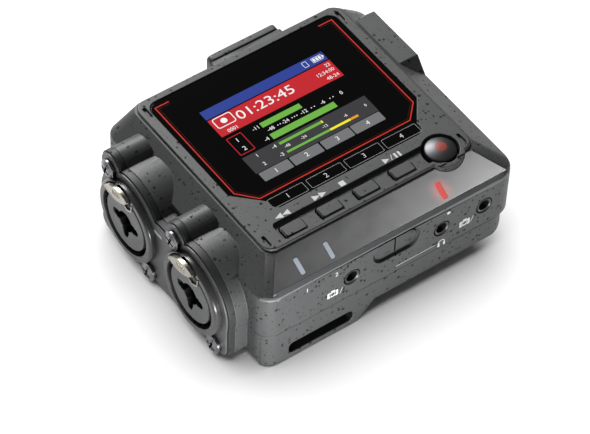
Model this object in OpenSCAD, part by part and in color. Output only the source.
// Portable two-channel field recorder, mm, +Z up, +X to the operator's right, +Y away.
// The origin is on the tripod thread's axis, in the plane that the recorder stands on.
// Inside the modules X is measured from the left wall and Y from the front wall.

/* [Case] */
// Width of the case between its side walls
case_w = 84; // [82:1:100]
// Depth of the case from the front wall to the rear wall
case_d = 75.6; // [74:0.2:90]
// Height at which the sloping shoulders start
shoulder_z = 27.8; // [27.6:0.1:30]
// Height of the raised control panel's face
panel_z = 33.6; // [33.4:0.1:37]
// Height of the joint between the upper and the lower case
split_z = 12.5; // [11.5:0.1:13.5]
// Height of the raised part of the underside
under_z = 5.6; // [5:0.1:6]
// Thickness of the moulded walls
wall = 2; // [1.6:0.1:2.4]
// Radius of the case's upright corners
corner_r = 4.5; // [3:0.1:6]

/* [Control panel] */
// Width of the raised control panel
panel_w = 68; // [66:0.5:74]
// Depth of the raised control panel
panel_d = 63.5; // [62:0.5:70]
// Distance from the front wall to the panel's front edge
panel_front = 10; // [9:0.1:11]
// Height of the panel's edge above the roof
panel_step = 0.9; // [0.5:0.1:1.1]
// Thickness of the display window
glass_t = 1.2; // [0.8:0.1:1.4]

/* [Display] */
// Width of the lit picture
picture_w = 40.4; // [36:0.1:44]
// Height of the lit picture
picture_h = 30.3; // [27:0.1:33]
// Distance from the panel's front edge to the picture
picture_front = 20.9; // [20:0.1:22]

/* [Keys] */
// Width of a soft key
key_w = 6.8; // [6:0.1:8]
// Depth of a soft key
key_d = 4; // [3.4:0.1:4.4]
// Distance between neighbouring soft keys
key_pitch = 11.87; // [11:0.01:12.4]
// How far a key goes down
key_travel = 0.6; // [0.4:0.1:0.8]
// Radius of the record button
record_r = 4.45; // [4:0.05:4.7]
// Clearance round each key
key_gap = 0.35; // [0.3:0.05:0.5]

/* [Front sockets] */
// Bore radius of a 3.5 mm jack
jack_r = 1.8; // [1.78:0.01:1.85]
// Height of the jacks' axis
jack_z = 20; // [19.5:0.1:20.4]
// Depth of a jack behind its mouth
jack_l = 13; // [12:0.5:14]

/* [Side sockets] */
// Radius of a side socket's barrel
barrel_r = 15; // [14.6:0.1:15.2]
// Distance between the two side sockets
socket_pitch = 30.6; // [30.4:0.1:33]
// Height of the side sockets' axis
socket_z = 16; // [15.8:0.1:16.6]
// Radius of a socket's collar
collar_r = 12.5; // [12.2:0.1:12.8]
// Radius of the 6.35 mm jack bore in a socket
phone_r = 3.22; // [3.19:0.01:3.27]
// Screw spacing of a socket, along the case
flange_y = 19; // [18:0.5:20]
// Screw spacing of a socket, upwards
flange_z = 24; // [23.6:0.1:24]

/* [Batteries] */
// Radius of a battery cell
cell_r = 7.2; // [7:0.05:7.25]
// Length of a battery cell with its button
cell_l = 50.5; // [49:0.1:50.6]
// Thickness of the battery door
door_t = 1.6; // [1.4:0.1:1.8]
// How far the battery door opens, in degrees
door_swing = 95; // [80:1:110]

/* [Tripod thread] */
// Bore radius of the 1/4 inch thread
tripod_r = 3.175; // [3:0.005:3.3]
// Length of the threaded insert
tripod_l = 7; // [5:0.5:8]

/* [Hidden] */
$fn = 64;
eps = 0.01;          // overlap that joins two solids of one piece
soft = 32;           // sides of the rounds inside a hull
fit = 0.15;          // clearance between pieces that are put together
slide_gap = 0.3;     // clearance round pieces that move

roof_z = panel_z - panel_step;
roof_t = 1.7;
panel_x = (case_w - panel_w) / 2;
panel_y = panel_front;
panel_r = 3.5;
mid_x = case_w / 2;
mid_y = case_d / 2;
strip_t = 0.8;
slope_run = panel_front - 0.9;
slope_a = atan((roof_z - shoulder_z) / slope_run);

// display window, and what is under it
glass_z = panel_z - 0.3;
glass_x = panel_x + 3.1;
glass_rear = panel_y + panel_d - 2.4;
glass_front = panel_y + 11.4;
glass_side_front = glass_front + 10.9;
key_row_x = mid_x + 0.7;
module_t = 2.2;
module_z = glass_z - glass_t - module_t;
picture_x = mid_x - picture_w / 2 - 0.3;
picture_y = panel_y + picture_front;
module_x = [picture_x - 3, picture_x + picture_w + 3];
module_y = [picture_y - 5.6, picture_y + picture_h + 2.6];

// boards
board_t = 1.6;
board_z = 24.9;
board_top = board_z + board_t;
board_x = 29.5;
boss_r = 2;
screw_r = 1;
screw_at = [[mid_x - 8.4, 7], [mid_x - 8.4, case_d - 4.9], [case_w - 6.2, 7], [case_w - 6.2, case_d - 6]];
screw_sunk = 3.6;      // height of the screw heads' seats over the underside

// keys
trough = [panel_x + 6.4, panel_y + 1.2, mid_x + 20.4, panel_y + 7.5];
trough_z = panel_z - 1.2;
key_y = panel_y + 3.9;
key_x0 = mid_x - 23.1;
key_top = panel_z - 0.35;
key_r = 0.9;
record_x = mid_x + 25.2;
record_y = panel_y + 3.9;
record_lip_r = record_r + 2.1;
record_hole_r = record_r + 0.75;
roof_under = roof_z - roof_t;
record_flange_t = 1;
record_flange_z = roof_under - record_flange_t - 1;

// volume rocker in the front wall
rocker_x = mid_x + 1;
rocker_z = 23;
rocker_w = 15.6;
rocker_h = 7.4;
rocker_depth = 1.1;
rocker_split = 0.5;
rocker_proud = 0.3;
volume_travel = 0.5;

// jacks: the place of each along the front
jack_x = [mid_x - 13.6, mid_x + 16.05, mid_x + 30.35];
jack_body_w = 6;
jack_ring_r = 2.35;
jack_hole_r = 2.7;

// indicator lights: distance along the front and their stretch up the slope
light_x = [mid_x - 27.9, mid_x - 18.3, mid_x + 18.5];
light_w = 1.4;
light_y = 4.45;
light_l = 4.8;
light_t = 1.9;

// side sockets
socket_y = [mid_y - 0.2 - socket_pitch / 2, mid_y - 0.2 + socket_pitch / 2];
plate_x = -6.5;
plate_t = 0.6;
band_t = 2;
band_x = plate_x + plate_t;
barrel_x = band_x + band_t;
barrel_in = 4.8;      // where the sockets' round housings end, on the left slope
upper_boss_r = 4.8;
flange_low = 0.9;
flange_side = barrel_r - 0.4;
collar_x = plate_x - 2.1;
shell_r = 12;
shell_end = 20;
shell_bore = 10.3;
insert_r = 8.8;
insert_x = collar_x + 0.3;
head_r = 2.75;
latch_turn = 15;
latch_at = 9.9;
latch_travel = 1.2;
contact_at = 4.8;
contact_turns = [90, 180, 270];
contact_r = 1.1;
recess_at = 3.6;
recess_r = 1.5;

// battery bay
bay_x = mid_x - 5;
bay_w = 4 * cell_r + 0.5;
bay_y = 14.6;
bay_l = cell_l + 3;
bay_wall = 1.2;
bay_top = 22.6;
cell_z = bay_top - cell_r - 0.4;
plate_l = 0.5;
hinge_r = 0.6;
hinge_z = under_z + door_t / 2;
hinge_y = bay_y + bay_l - 1;

// underside
pad_t = 0.4;
pad_r = 3.6;
left_rail_w = 30.5;
ramp_w = 5.7;
right_rail = [case_w - 14.7, 12.5, case_w - 6.5, case_d - 9.5];
base_r = 6.2;
step_in = 2.2;         // how far the lower case's right wall stands in from the upper's
draft = 0.45;          // lean of the upper case's right wall
right_corner_r = corner_r + 2;
rim_h = 1.2;
strap_x = 8.2;
strap_w = 21;
strap_z = [1.8, 5.8];
strap_bar = 5.2;
strap_gap = 6.4;
tripod_at = [18.8, mid_y - 0.2];
tripod_boss_r = 5.4;

// right wall
usb_at = [case_w, 60.5, 22];
card_at = [case_w, 43, 22.6];
power_at = [case_w, 24, 17];
power_travel = 3;
hump_y = [41.8, 71];
hump_z = 31.9;
hump_end = 4.6;       // run of its sloping ends

// rear wall
cover_x = [mid_x - 5.4, mid_x + 17.4];
cover_z = [10, 30.2];
cover_t = 2.2;
housing_t = 2;

// ---------------------------------------------------------------- helpers

// the recorder's own frame, with the origin on the tripod thread
module set_down() translate([-tripod_at[0], -tripod_at[1], 0]) children();

// a rounded rectangle between two corners
module round_rect(x0, y0, x1, y1, r) {
    translate([x0 + r, y0]) square([x1 - x0 - 2 * r, y1 - y0]);
    translate([x0, y0 + r]) square([x1 - x0, y1 - y0 - 2 * r]);
    for (x = [x0 + r, x1 - r], y = [y0 + r, y1 - r]) translate([x, y]) circle(r);
}

// the case's outline, moved in by a distance, with larger rounds on its right-hand corners
module case_outline(inset, right) {
    round_rect(inset, inset, mid_x + 10, case_d - inset, max(corner_r - inset, 0.5));
    round_rect(mid_x - 10, inset, case_w - inset - right, case_d - inset,
               max(right_corner_r - inset, 0.5));
}

// a thin slab of that outline, for hulls
module case_slab(z, inset, t = 0.05, right = 0)
    translate([0, 0, z]) linear_extrude(t) case_outline(inset, right, $fn = soft);

module panel_slab(z, inset, t = 0.05)
    translate([0, 0, z]) linear_extrude(t)
        round_rect(panel_x + inset, panel_y + inset, panel_x + panel_w - inset,
                   panel_y + panel_d - inset, panel_r, $fn = soft);

// a round bar along X, from x0 to x1
module bar_x(x0, x1, y, z, r) translate([x0, y, z]) rotate([0, 90, 0]) cylinder(h = x1 - x0, r = r);

// a round bar along Y, from y0 to y1
module bar_y(y0, y1, x, z, r) translate([x, y0, z]) rotate([-90, 0, 0]) cylinder(h = y1 - y0, r = r);

// a box between two corners
module block(a, b) translate(a) cube(b - a);

// an outline drawn in Y and Z, given a thickness along X
module along_x(x0, x1) translate([x0, 0, 0]) rotate([90, 0, 90]) linear_extrude(x1 - x0) children();

// an outline drawn in X and Z, given a length along Y
module along_y(y0, y1) translate([0, y1, 0]) rotate([90, 0, 0]) linear_extrude(y1 - y0) children();

// children laid on the front slope: their X runs along it, Y up it, Z out of it
module on_front_slope() translate([0, 0.9, shoulder_z]) rotate([slope_a, 0, 0]) children();

// the four screw places of the side sockets
function flange_at(i) = [[socket_y[i] + flange_y / 2, socket_z + flange_z / 2],
                         [socket_y[i] - flange_y / 2, socket_z - flange_z / 2]];

// outline of the side of the case round both sockets, in Y and Z
module side_outline(inset = 0) {
    low = flange_low + inset;
    for (y = socket_y) translate([y, socket_z]) circle(barrel_r - inset);
    for (i = [0, 1]) translate(flange_at(i)[0]) circle(upper_boss_r - inset);
    round_rect(socket_y[0] - flange_side + inset, low, socket_y[1] + flange_side - inset,
               socket_z, 3.4);
    translate([socket_y[0], socket_z - 2]) square([socket_pitch, 11.5 - inset]);
}

module socket_holes(r) for (y = socket_y) translate([y, socket_z]) circle(r);

module flange_holes(r) for (i = [0, 1], p = flange_at(i)) translate(p) circle(r);

// lens outline of a latch tab, grown by a clearance, drawn in Y and Z round the socket's axis
module tab_outline(grow = 0)
    rotate(-latch_turn) translate([0, latch_at])
        intersection() {
            translate([0, -6.9]) circle(9.1 + grow);
            translate([0, 6.9]) circle(9.1 + grow);
        }

// ---------------------------------------------------------------- case

module case_roof() {
    hull() {
        case_slab(split_z, 0, 0.05, draft);
        case_slab(shoulder_z - 1, 0);
        case_slab(shoulder_z - 0.45, 0.22);
        case_slab(shoulder_z - 0.1, 0.7);
        panel_slab(roof_z - 0.05, -0.5);
    }
    hull() {
        panel_slab(roof_z - 0.5, 0);
        panel_slab(panel_z - 0.35, 0);
        panel_slab(panel_z - 0.1, 0.12);
        panel_slab(panel_z - 0.05, 0.35);
    }
}

module case_hollow()
    hull() {
        case_slab(split_z - 1, wall);
        case_slab(shoulder_z - 1.6, wall);
        panel_slab(roof_under - 0.05, 0.6);
    }

// the display window's outline: two chamfered front corners and a strip for the touch keys
module window_outline(grow = 0) {
    x0 = glass_x - grow;
    x1 = case_w - glass_x + grow;
    strip_x0 = key_row_x - 24.2 - grow;
    strip_x1 = key_row_x + 24.6 + grow;
    front = glass_front + 3.4;
    polygon([[x0, glass_rear - 4], [x0, glass_side_front], [strip_x0, front], [strip_x1, front],
             [x1, glass_side_front], [x1, glass_rear - 4]]);
    round_rect(x0, glass_side_front, x1, glass_rear + grow, 3);
    round_rect(strip_x0, glass_front - grow, strip_x1, front + 2.5, 2.2);
}

module key_hole(i, grow)
    translate([key_x0 + i * key_pitch, key_y])
        round_rect(-key_w / 2 - grow, -key_d / 2 - grow, key_w / 2 + grow, key_d / 2 + grow,
                   key_r + grow);

module panel_cuts() {
    // seat of the window, and the opening for the display under it
    translate([0, 0, glass_z - glass_t]) linear_extrude(5) window_outline(fit);
    block([module_x[0] - fit, module_y[0] - fit, roof_under - 2],
          [module_x[1] + fit, module_y[1] + fit, glass_z]);
    // trough with the four soft keys
    translate([0, 0, trough_z]) linear_extrude(5)
        round_rect(trough[0], trough[1], trough[2] + 4, trough[3], 1.2);
    translate([0, 0, roof_under - 2]) linear_extrude(5) for (i = [0:3]) key_hole(i, key_gap);
    // short slits near the panel's corners
    for (x = [panel_x + 2, panel_x + panel_w - 2], y = [panel_y + 3.6, panel_y + panel_d - 4.6])
        translate([x, y, panel_z - 0.8]) linear_extrude(2) round_rect(-0.5, -2, 0.5, 2, 0.49);
}

// the round column that stands proud of the slope round the record button
module record_column(grow)
    translate([record_x, record_y, shoulder_z - 3])
        cylinder(h = panel_z - shoulder_z + 2.7, r = record_lip_r + grow);

// room for the record button's flange under the roof
module record_pocket()
    translate([record_x, record_y, record_flange_z - key_travel - 0.4])
        cylinder(h = record_flange_t + key_travel + 0.6, r = record_hole_r + 0.55);

module record_lip() {
    translate([record_x, record_y, shoulder_z])
        cylinder(h = panel_z - shoulder_z - 0.3, r = record_lip_r);
    translate([record_x, record_y, panel_z - 0.3 - eps])
        cylinder(h = 0.3 + eps, r1 = record_lip_r, r2 = record_lip_r - 0.3);
}

module front_cuts() {
    for (x = jack_x) bar_y(-1, wall + 1, x, jack_z, jack_hole_r);
    // recess of the volume rocker, and the two holes that its keys come through
    along_y(-1, rocker_depth)
        round_rect(rocker_x - rocker_w / 2, rocker_z - rocker_h / 2, rocker_x + rocker_w / 2,
                   rocker_z + rocker_h / 2, rocker_h / 2 - 0.01);
    along_y(0, wall + 1) volume_outline(0, 0.1);
    along_y(0, wall + 1) volume_outline(1, 0.1);
}

// one half of the volume rocker: side 0 is down, side 1 is up
module volume_outline(side, grow = 0) {
    h = rocker_h - 1.7;
    w = (rocker_w - 1.7 - rocker_split) / 2;
    x0 = side == 0 ? rocker_x - w - rocker_split / 2 : rocker_x + rocker_split / 2;
    cx = side == 0 ? x0 + h / 2 : x0 + w - h / 2;
    r = h / 2 + grow;
    translate([cx, rocker_z]) circle(r);
    translate([side == 0 ? cx : x0 - grow, rocker_z - r]) square([w - h / 2 + grow, 2 * r]);
}

module upper_boss(p) {
    translate([p[0], p[1], split_z]) cylinder(h = roof_under + 1.2 - split_z, r = boss_r);
    translate([p[0], p[1], board_top]) cylinder(h = roof_under + 1.2 - board_top, r = boss_r + 1);
}

module upper_case() set_down() color("dimgray") difference() {
    union() {
        difference() {
            case_roof();
            case_hollow();
        }
        intersection() {
            union() {
                for (p = screw_at) upper_boss(p);
                along_x(barrel_x, barrel_in) intersection() {
                    side_outline();
                    translate([0, split_z]) square([case_d, 40]);
                }
            }
            case_envelope();
        }
        guard_hump();
        // the seat on the lower case's right wall
        block([case_w - step_in - 1, right_corner_r + 1, split_z],
              [case_w - wall + 0.5, case_d - right_corner_r - 1, split_z + rim_h]);
        difference() {
            record_lip();
            case_hollow();
        }
        along_y(case_d - wall, case_d + housing_t)
            round_rect(cover_x[0] - 0.5, cover_z[0] + 2.8, cover_x[1] + 0.8, cover_z[1] - 0.4, 1.2);
    }
    // sockets in the left side
    along_x(barrel_x - 1, shell_end + 1) socket_holes(shell_r + fit);
    for (i = [0, 1]) bar_x(barrel_x - 1, barrel_in - 0.2, flange_at(i)[0][0], flange_at(i)[0][1], 1.5);
    panel_cuts();
    translate([record_x, record_y, roof_under - 3]) cylinder(h = 9, r = record_hole_r);
    front_cuts();
    difference() {
        on_front_slope() strip_seat();
        record_column(0);
    }
    record_pocket();
    for (p = screw_at) translate([p[0], p[1], split_z - 1]) cylinder(h = 10, r = screw_r);
    // seats of the slider and openings of the right wall's sockets
    block([case_w - wall - 1, usb_at[1] - 4.7, usb_at[2] - 1.8], [case_w + 1, usb_at[1] + 4.7, usb_at[2] + 1.8]);
    block([case_w - wall - 1, card_at[1] - 6, card_at[2] - 0.7], [case_w + 1, card_at[1] + 6, card_at[2] + 0.9]);
    block([case_w - wall - 1, power_at[1] - 5.5, power_at[2] - 1.6], [case_w + 1, power_at[1] + 5.5, power_at[2] + 1.6]);
    // opening behind the rear cover
    block([cover_x[0] + 3, case_d - wall - 1, cover_z[0] + 6], [cover_x[1] - 3, case_d + housing_t + 1, cover_z[1] - 4]);
}

// the guard over the right wall's sockets, with sloping ends
module guard_hump() {
    difference() {
        along_x(case_w - 9, case_w)
            polygon([[hump_y[0], shoulder_z - 1.5], [hump_y[0] + hump_end, hump_z], [hump_y[1] - hump_end, hump_z],
                     [hump_y[1], shoulder_z - 1.5]]);
        case_hollow();
    }
}

// everything that the upper case's outside may fill
module case_envelope() {
    block([barrel_x, 0, split_z], [barrel_in, case_d, 45]);
    hull() {
        case_slab(split_z, 0.5, 0.05, draft);
        case_slab(shoulder_z - 1.2, 0.5);
        panel_slab(roof_under + 0.8, 0);
    }
}

module lower_outline() {
    polygon([[0, split_z], [0, pad_t + 1.5], [1.5, pad_t], [left_rail_w, pad_t],
             [left_rail_w + ramp_w, under_z], [case_w - step_in - base_r, under_z],
             [case_w - step_in - base_r, split_z]]);
    translate([1.5, pad_t + 1.5]) circle(1.5);
    translate([case_w - step_in - base_r, under_z + base_r]) circle(base_r);
    translate([case_w - step_in - base_r, under_z + base_r])
        square([base_r, split_z - under_z - base_r]);
}

module lower_hollow() {
    floor_z = under_z + wall - 0.2;
    polygon([[wall, split_z + 1], [wall, pad_t + wall], [left_rail_w - 0.8, pad_t + wall],
             [left_rail_w + ramp_w - 0.8, floor_z], [case_w - step_in - base_r, floor_z],
             [case_w - step_in - wall, floor_z + 3.2], [case_w - step_in - wall, split_z + 1]]);
}

module strap_slot(y0, y1, mouth) {
    along_y(y0, y1) round_rect(strap_x, strap_z[0], strap_x + strap_w, strap_z[1], 1.6);
    translate([0, 0, -1]) linear_extrude(strap_z[0] + 2.5)
        round_rect(strap_x, mouth, strap_x + strap_w, mouth + strap_gap, 1);
}

// solid housing round a strap slot, inside the left rail
module strap_box(y0, y1)
    block([strap_x - 1.4, y0, pad_t + eps], [strap_x + strap_w + 1.4, y1, strap_z[1] + 1.2]);

module lower_case() set_down() color("dimgray") difference() {
    strap_in = strap_bar + strap_gap;
    union() {
        difference() {
            intersection() {
                along_y(0, case_d) lower_outline();
                linear_extrude(split_z) case_outline(0, step_in);
            }
            intersection() {
                along_y(wall, case_d - wall) lower_hollow();
                linear_extrude(split_z + 2) case_outline(wall, step_in);
            }
        }
        along_x(barrel_x, wall) intersection() {
            side_outline();
            square([case_d, split_z]);
        }
        strap_box(wall - 0.5, strap_in + 1.2);
        strap_box(case_d - strap_in - 1.2, case_d - wall + 0.5);
        linear_extrude(under_z + 0.6)
            round_rect(right_rail[0], right_rail[1], right_rail[2], right_rail[3], 2.5);
        translate([tripod_at[0], tripod_at[1], pad_t]) cylinder(h = tripod_l + 1.2 - pad_t, r = tripod_boss_r + 1.4);
        intersection() {
            for (p = screw_at) translate([p[0], p[1], under_z]) cylinder(h = split_z - under_z, r = boss_r + 1);
            along_y(0, case_d) lower_outline();
        }
        // walls of the battery bay
        block([bay_x - bay_wall, bay_y - bay_wall, under_z],
              [bay_x + bay_w + bay_wall, bay_y + bay_l + bay_wall, bay_top + bay_wall]);
    }
    translate([0, 0, -1]) linear_extrude(pad_t + 1)
        round_rect(right_rail[0] - 1, right_rail[1] - 1, right_rail[2] + 1, right_rail[3] + 1, 1);
    // sockets in the left side
    intersection() {
        along_x(barrel_x - 1, 24) socket_holes(shell_r + fit);
        block([-9, 0, 0], [30, case_d, split_z + 1]);
    }
    for (i = [0, 1]) bar_x(barrel_x - 1, 5, flange_at(i)[1][0], flange_at(i)[1][1], 1.5);
    // battery bay, the door's seat and its hinge holes
    block([bay_x, bay_y, under_z - 1], [bay_x + bay_w, bay_y + bay_l, bay_top]);
    bar_x(bay_x - 1, bay_x + bay_w + 1, hinge_y, hinge_z, hinge_r + 0.08);
    // strap slots through the left rail's two ends
    strap_slot(-1, strap_in, strap_bar);
    strap_slot(case_d - strap_in, case_d + 1, case_d - strap_in);
    translate([tripod_at[0], tripod_at[1], 0]) cylinder(h = tripod_l, r = tripod_boss_r);
    for (p = screw_at) {
        translate([p[0], p[1], -1]) cylinder(h = 30, r = screw_r + 0.2);
        translate([p[0], p[1], -1]) cylinder(h = under_z + screw_sunk + 1, r = 2.3);
    }
    // a hollow in the right rail, and the seats of the rubber pads
    block([right_rail[0] + 2, right_rail[1] + 12, 2.6], [right_rail[2] - 2, right_rail[3] - 12, under_z + 3]);
    for (p = pad_at) translate([p[0], p[1], 0]) cylinder(h = pad_t + 0.6, r = pad_r + 0.1);
}

pad_at = [[4.6, mid_y - 12], [4.6, mid_y + 12],
          [(right_rail[0] + right_rail[2]) / 2, right_rail[1] + 6],
          [(right_rail[0] + right_rail[2]) / 2, right_rail[3] - 6]];

module rubber_pads() set_down() color([0.08, 0.08, 0.08])
    for (p = pad_at) translate([p[0], p[1], 0]) cylinder(h = pad_t + 0.6, r = pad_r);

// outline of the smooth strip on the front slope, along the slope
module strip_outline(inset) {
    run = slope_run / cos(slope_a);
    polygon([[3 + inset, inset], [case_w - 3 - inset, inset], [case_w - panel_x - 1.2 - inset, run - inset],
             [panel_x + 1.2 + inset, run - inset]]);
}

module light_outlines(ids, grow = 0)
    for (i = ids) translate([light_x[i], (light_y - 0.9) / cos(slope_a)])
        round_rect(-light_w / 2 - grow, -light_l / 2 - grow, light_w / 2 + grow, light_l / 2 + grow, 0.5);

module strip_seat() {
    translate([0, 0, -strip_t]) linear_extrude(5) strip_outline(0.5);
    translate([0, 0, -6]) linear_extrude(12) light_outlines([0, 1, 2], 0.1);
}

module indicator_strip() set_down() color([0.25, 0.25, 0.26]) difference() {
    on_front_slope() translate([0, 0, -strip_t]) linear_extrude(strip_t) difference() {
        strip_outline(0.55);
        light_outlines([0, 1, 2], 0.05);
    }
    record_column(0.1);
}

module light_guide(ids)
    on_front_slope() translate([0, 0, -light_t]) linear_extrude(light_t + 0.12) light_outlines(ids);

module peak_lights() set_down() color("lightsteelblue") light_guide([0, 1]);
module record_light() set_down() color("red") light_guide([2]);

// ---------------------------------------------------------------- display and boards

module display_window() set_down() color([0.05, 0.05, 0.06])
    translate([0, 0, glass_z - glass_t]) linear_extrude(glass_t) window_outline();

module display_module() set_down() color([0.2, 0.25, 0.3])
    block([module_x[0], module_y[0], module_z], [module_x[1], module_y[1], module_z + module_t]);

module display_holder() set_down() color([0.85, 0.85, 0.85]) difference() {
    block([board_x + 5, module_y[0] + 1, board_top], [module_x[1] - 1, module_y[1] - 1, module_z]);
    block([board_x + 6.5, module_y[0] + 2.5, board_top - 1], [module_x[1] - 2.5, module_y[1] - 2.5, module_z - 0.8]);
}

module main_board() set_down() color("darkgreen") difference() {
    translate([0, 0, board_z]) linear_extrude(board_t)
        round_rect(board_x, wall + 1.6, case_w - wall - 0.4, case_d - wall - 0.4, right_corner_r - wall);
    for (p = screw_at) translate([p[0], p[1], board_z - 1]) cylinder(h = 4, r = boss_r + fit);
}

module input_board() set_down() color("darkgreen")
    block([shell_end + 0.6, 8, tripod_l + 2], [shell_end + 0.6 + board_t, case_d - 8, board_top]);

module shield_can() set_down() color("silver")
    block([case_w - 15, 18, board_z - 2.4], [case_w - 9, 33, board_z]);

// ---------------------------------------------------------------- keys

module key_mat() set_down() color([0.2, 0.2, 0.2])
    for (i = [0:3])
        translate([key_x0 + i * key_pitch, key_y, board_top]) {
            cylinder(h = 0.9, r = 2.4);
            cylinder(h = roof_under - 1.2 - key_travel - 0.1 - board_top, r = 1.6);
        }

module soft_key(i) set_down() color([0.3, 0.3, 0.3]) {
    translate([0, 0, roof_under - 0.4]) linear_extrude(key_top - 0.3 - roof_under + 0.4) key_hole(i, 0);
    translate([0, 0, key_top - 0.3 - eps]) linear_extrude(0.3 + eps) key_hole(i, -0.25);
    translate([key_x0 + i * key_pitch, key_y, 0])
        block([-key_w / 2 - 0.9, -key_d / 2 - 0.7, roof_under - 1.2],
              [key_w / 2 + 0.9, key_d / 2 + 0.7, roof_under - 0.35]);
}

module key_rewind() soft_key(0);
module key_forward() soft_key(1);
module key_stop() soft_key(2);
module key_play() soft_key(3);

module record_button() set_down() color("gray") translate([record_x, record_y, 0]) {
    dome = 1;
    dome_base = panel_z - 0.35;
    sphere_r = (record_r * record_r + dome * dome) / (2 * dome);
    translate([0, 0, record_flange_z]) cylinder(h = record_flange_t, r = record_hole_r + 0.35);
    translate([0, 0, record_flange_z]) cylinder(h = dome_base - record_flange_z, r = record_r);
    intersection() {
        translate([0, 0, dome_base + dome - sphere_r]) sphere(sphere_r, $fn = 96);
        translate([0, 0, dome_base - eps]) cylinder(h = dome + 1, r = record_r);
    }
}

module record_switch() set_down() color("silver") translate([record_x, record_y, 0]) {
    block([-2.5, -2.5, board_top], [2.5, 2.5, board_top + 1.4]);
    translate([0, 0, board_top + 1.4 - eps])
        cylinder(h = record_flange_z - key_travel - 0.15 - board_top - 1.4, r = 1.3);
}

module volume_key(side) set_down() color([0.3, 0.3, 0.3]) {
    along_y(rocker_proud, wall + 0.35) volume_outline(side);
    x0 = side == 0 ? rocker_x - rocker_w / 2 : rocker_x + rocker_split / 2;
    w = (rocker_w - rocker_split) / 2;
    block([x0, wall + 0.3, rocker_z - rocker_h / 2], [x0 + w, wall + 1.2, rocker_z + 1.7]);
}

module volume_down() volume_key(0);
module volume_up() volume_key(1);

module volume_switches() set_down() color("silver")
    for (side = [-1, 1]) translate([rocker_x + side * 4, 0, 0]) {
        block([-2.2, wall + 3.2, board_z - 4.4], [2.2, wall + 5.4, board_z]);
        bar_y(wall + 1.2 + volume_travel + 0.15, wall + 3.2 + eps, 0, board_z - 2.4, 0.8);
    }

// ---------------------------------------------------------------- front jacks

module jack(i) set_down() color([0.12, 0.12, 0.13]) difference() {
    union() {
        block([jack_x[i] - jack_body_w / 2, wall + 0.2, jack_z - 3],
              [jack_x[i] + jack_body_w / 2, jack_l + 0.3, board_z]);
        bar_y(0.5, wall + 0.3, jack_x[i], jack_z, jack_ring_r);
    }
    bar_y(-1, jack_l, jack_x[i], jack_z, jack_r);
}

module camera_in_jack() jack(0);
module headphone_jack() jack(1);
module line_out_jack() jack(2);

// ---------------------------------------------------------------- side sockets

module connector_plate() set_down() color([0.45, 0.46, 0.48])
    along_x(plate_x, plate_x + plate_t) difference() {
        side_outline(0.5);
        socket_holes(shell_r + 0.1);
        flange_holes(1.5);
    }

module connector_band() set_down() color([0.16, 0.16, 0.17])
    along_x(band_x, barrel_x) difference() {
        side_outline(0);
        socket_holes(shell_r + 0.1);
        flange_holes(1.5);
    }

module flange_screws() set_down() color([0.3, 0.3, 0.32])
    for (i = [0, 1], p = flange_at(i)) difference() {
        union() {
            bar_x(plate_x - 1.1, plate_x, p[0], p[1], head_r);
            translate([plate_x - 1.1 + eps, p[0], p[1]]) rotate([0, -90, 0]) cylinder(h = 0.7, r1 = head_r, r2 = head_r - 1.1);
            bar_x(plate_x - eps, 4.4, p[0], p[1], 1.4);
        }
        for (a = [20, 110]) translate([plate_x - 2.2, p[0], p[1]]) rotate([a, 0, 0])
            block([0, -1.7, -0.35], [1.5, 1.7, 0.35]);
    }

// the collar and the black body of one socket, with its axis along X
module socket_shell(i) set_down() color([0.2, 0.2, 0.21]) translate([0, socket_y[i], socket_z]) difference() {
    rotate([0, 90, 0]) rotate_extrude() difference() {
        union() {
            translate([0, collar_x + 0.9]) square([collar_r, plate_x - collar_x - 0.9]);
            translate([0, collar_x]) square([collar_r - 0.9, plate_x - collar_x]);
            translate([collar_r - 0.9, collar_x + 0.9]) circle(0.9);
            translate([0, plate_x - eps]) square([shell_r, shell_end - plate_x + eps]);
        }
        translate([-20, -20]) square([20, 60]);
        translate([-1, collar_x - 1]) square([shell_bore + 1, 21 + 1]);
    }
    along_x(collar_x - 1, collar_x + latch_travel + 0.5) tab_outline(0.3);
    rotate([-latch_turn, 0, 0]) block([collar_x, -2.3, latch_at - 1.3], [collar_x + 10, 2.3, latch_at + 1.3]);
}

module socket_shell_front() socket_shell(0);
module socket_shell_rear() socket_shell(1);

module socket_insert(i) set_down() color([0.42, 0.43, 0.45]) translate([0, socket_y[i], socket_z]) difference() {
    bar_x(insert_x, collar_x + 21, 0, 0, insert_r);
    bar_x(insert_x - 1, collar_x + 20, 0, 0, phone_r);
    for (a = contact_turns) {
        rotate([a, 0, 0]) bar_x(insert_x - 1, insert_x + 3, 0, recess_at, recess_r);
        rotate([a, 0, 0]) bar_x(insert_x - 1, collar_x + 16, 0, contact_at, contact_r + 0.05);
    }
    along_x(insert_x - 1, collar_x + latch_travel + 0.5) tab_outline(0.3);
    rotate([-latch_turn, 0, 0]) block([insert_x - 1, -2.3, latch_at - 1.6], [collar_x + 10, 2.3, latch_at + 1.6]);
}

module socket_insert_front() socket_insert(0);
module socket_insert_rear() socket_insert(1);

module socket_latch(i) set_down() color("silver") translate([0, socket_y[i], socket_z]) {
    along_x(collar_x - 1.1, collar_x + 0.1) tab_outline();
    rotate([-latch_turn, 0, 0]) block([collar_x, -2, latch_at - 1], [collar_x + 7, 2, latch_at + 1]);
}

module socket_latch_front() socket_latch(0);
module socket_latch_rear() socket_latch(1);

// the bent wire clip beside each latch
module latch_springs() set_down() color("gold")
    for (y = socket_y) translate([0, y, socket_z]) rotate([22, 0, 0]) {
        block([collar_x - 0.5, -2.2, 11.1], [collar_x, 1.2, 11.6]);
        block([collar_x - 0.5, -2.2, 10.4], [collar_x, -1.6, 11.6]);
    }

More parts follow.
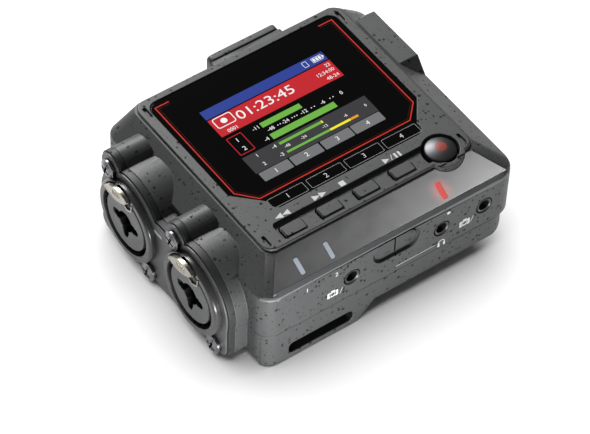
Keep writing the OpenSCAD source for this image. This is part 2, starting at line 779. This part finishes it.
module socket_contacts() set_down() color("gold")
    for (y = socket_y, a = contact_turns) translate([0, y, socket_z]) rotate([a, 0, 0]) difference() {
        bar_x(insert_x + 3.4, collar_x + 16, 0, contact_at, contact_r);
        bar_x(insert_x + 2, collar_x + 12, 0, contact_at, contact_r - 0.35);
    }

// ---------------------------------------------------------------- fasteners

module case_screws() set_down() color("silver")
    for (p = screw_at) translate([p[0], p[1], 0]) difference() {
        head_z = under_z + screw_sunk;
        union() {
            translate([0, 0, head_z - 1.2]) cylinder(h = 1.2, r = 2);
            translate([0, 0, head_z - eps]) cylinder(h = 12, r = screw_r - 0.04);
        }
        for (a = [0, 90]) translate([0, 0, head_z - 1.3]) rotate([0, 0, a])
            block([-1.2, -0.3, 0], [1.2, 0.3, 0.8]);
    }

module tripod_insert() set_down() color("goldenrod") translate([tripod_at[0], tripod_at[1], 0]) difference() {
    cylinder(h = tripod_l, r = tripod_boss_r);
    translate([0, 0, -1]) cylinder(h = tripod_l, r = tripod_r);
}

// ---------------------------------------------------------------- batteries

module battery_door() set_down() color([0.22, 0.22, 0.23]) difference() {
    union() {
        block([bay_x + slide_gap, bay_y + slide_gap, under_z], [bay_x + bay_w - slide_gap, hinge_y, under_z + door_t]);
        bar_x(bay_x + slide_gap, bay_x + bay_w - slide_gap, hinge_y, hinge_z, door_t / 2);
        bar_x(bay_x - 0.7, bay_x + bay_w + 0.7, hinge_y, hinge_z, hinge_r);
    }
    // finger recess by the latch edge
    translate([bay_x + bay_w / 2, bay_y + 4, under_z - 0.2])
        linear_extrude(0.9) round_rect(-5, -2, 5, 2, 1.9);
}

module cell(x) {
    y0 = bay_y + plate_l + 0.6;
    bar_y(y0 + 1, y0 + cell_l, x, cell_z, cell_r);
    bar_y(y0, y0 + 1.1, x, cell_z, 2.7);
}

module battery_left() set_down() color("darkorange") cell(bay_x + cell_r + 0.15);
module battery_right() set_down() color("darkorange")
    translate([0, 2 * bay_y + bay_l, 0]) mirror([0, 1, 0]) cell(bay_x + bay_w - cell_r - 0.15);

module contact_plates(y0, y1)
    for (x = [bay_x + cell_r + 0.15, bay_x + bay_w - cell_r - 0.15])
        block([x - 4.5, y0, cell_z - 4.5], [x + 4.5, y1, cell_z + 4.5]);

module battery_plate() set_down() color("silver") {
    contact_plates(bay_y, bay_y + plate_l);
    bar_y(bay_y + plate_l - eps, bay_y + plate_l + 0.4, bay_x + cell_r + 0.15, cell_z, 2.4);
    bar_y(bay_y + plate_l - eps, bay_y + plate_l + 1.2, bay_x + bay_w - cell_r - 0.15, cell_z, 3);
}

module battery_springs() set_down() color("silver") {
    contact_plates(bay_y + bay_l - plate_l, bay_y + bay_l);
    bar_y(bay_y + bay_l - plate_l - 1.2, bay_y + bay_l - plate_l + eps, bay_x + cell_r + 0.15, cell_z, 3);
    bar_y(bay_y + bay_l - plate_l - 0.4, bay_y + bay_l - plate_l + eps, bay_x + bay_w - cell_r - 0.15, cell_z, 2.4);
}

// ---------------------------------------------------------------- right and rear walls

module usb_socket() set_down() color("silver") {
    in = 7.4;
    difference() {
        union() {
            along_x(case_w - wall - in + 1.2, case_w - 0.4) round_rect(usb_at[1] - 4.5, usb_at[2] - 1.6, usb_at[1] + 4.5, usb_at[2] + 1.6, 1.59);
            block([case_w - wall - in + 1.2, usb_at[1] - 4, usb_at[2]], [case_w - wall - 1, usb_at[1] + 4, board_z]);
        }
        along_x(case_w - wall - in + 2.4, case_w + 1) round_rect(usb_at[1] - 4.15, usb_at[2] - 1.28, usb_at[1] + 4.15, usb_at[2] + 1.28, 1.27);
    }
    block([case_w - wall - in + 2.2, usb_at[1] - 3.3, usb_at[2] - 0.35], [case_w - 1.4, usb_at[1] + 3.3, usb_at[2] + 0.35]);
}

module card_socket() set_down() color("silver") difference() {
    back = case_w - wall - 14;
    block([back, card_at[1] - 6.6, card_at[2] - 1.2], [case_w - wall - 0.2, card_at[1] + 6.6, board_z]);
    block([back + 0.5, card_at[1] - 5.7, card_at[2] - 0.6], [case_w, card_at[1] + 5.7, card_at[2] + 0.6]);
}

module memory_card() set_down() color([0.1, 0.1, 0.1])
    translate([case_w - 15.4, card_at[1] - 5.5, card_at[2] - 0.35]) linear_extrude(0.7)
        round_rect(0, 0, 15, 11, 0.8);

module power_slider() set_down() color([0.3, 0.3, 0.3]) {
    y0 = power_at[1] - 5.2;
    translate([0, y0, power_at[2]]) {
        block([case_w - wall - 0.2, 0, -1.3], [case_w + 0.5, 7.2, 1.3]);
        block([case_w - wall - 1.1, -1.5, -2.6], [case_w - wall - 0.15, 8.2, 2.6]);
    }
}

module power_switch() set_down() color("silver")
    block([case_w - wall - 6, power_at[1] - 6, power_at[2] - 2.2], [case_w - wall - 1.3, power_at[1] + 6, board_z]);

module rear_cover() set_down() color("dimgray") difference() {
    y0 = case_d + housing_t;
    union() {
        along_y(y0 + 0.05, y0 + cover_t) round_rect(cover_x[0], cover_z[0] + 3, cover_x[1], cover_z[1], 1.4);
        along_y(y0 - 1.6, y0 + 0.1)
            round_rect(cover_x[0] + 3.2, cover_z[0] + 6.2, cover_x[1] - 3.2, cover_z[1] - 4.2, 0.8);
    }
    along_y(y0 - 2, y0 + 0.8)
        round_rect(cover_x[0] + 4.4, cover_z[0] + 7.4, cover_x[1] - 4.4, cover_z[1] - 5.4, 0.5);
}

module adapter_socket() set_down() color([0.1, 0.1, 0.1])
    block([cover_x[0] + 6, case_d - 6, cover_z[0] + 9], [cover_x[1] - 6, case_d - 1, board_z]);

// ---------------------------------------------------------------- drawing

upper_case();
lower_case();
indicator_strip();
display_window();
display_module();
display_holder();
main_board();
input_board();
key_mat();
key_rewind();
key_forward();
key_stop();
key_play();
record_button();
record_switch();
volume_down();
volume_up();
volume_switches();
camera_in_jack();
headphone_jack();
line_out_jack();
peak_lights();
record_light();
socket_shell_front();
socket_shell_rear();
socket_insert_front();
socket_insert_rear();
socket_latch_front();
socket_latch_rear();
latch_springs();
socket_contacts();
connector_plate();
connector_band();
flange_screws();
case_screws();
battery_door();
battery_left();
battery_right();
battery_plate();
battery_springs();
usb_socket();
card_socket();
memory_card();
power_switch();
power_slider();
rear_cover();
adapter_socket();
tripod_insert();
rubber_pads();
shield_can();
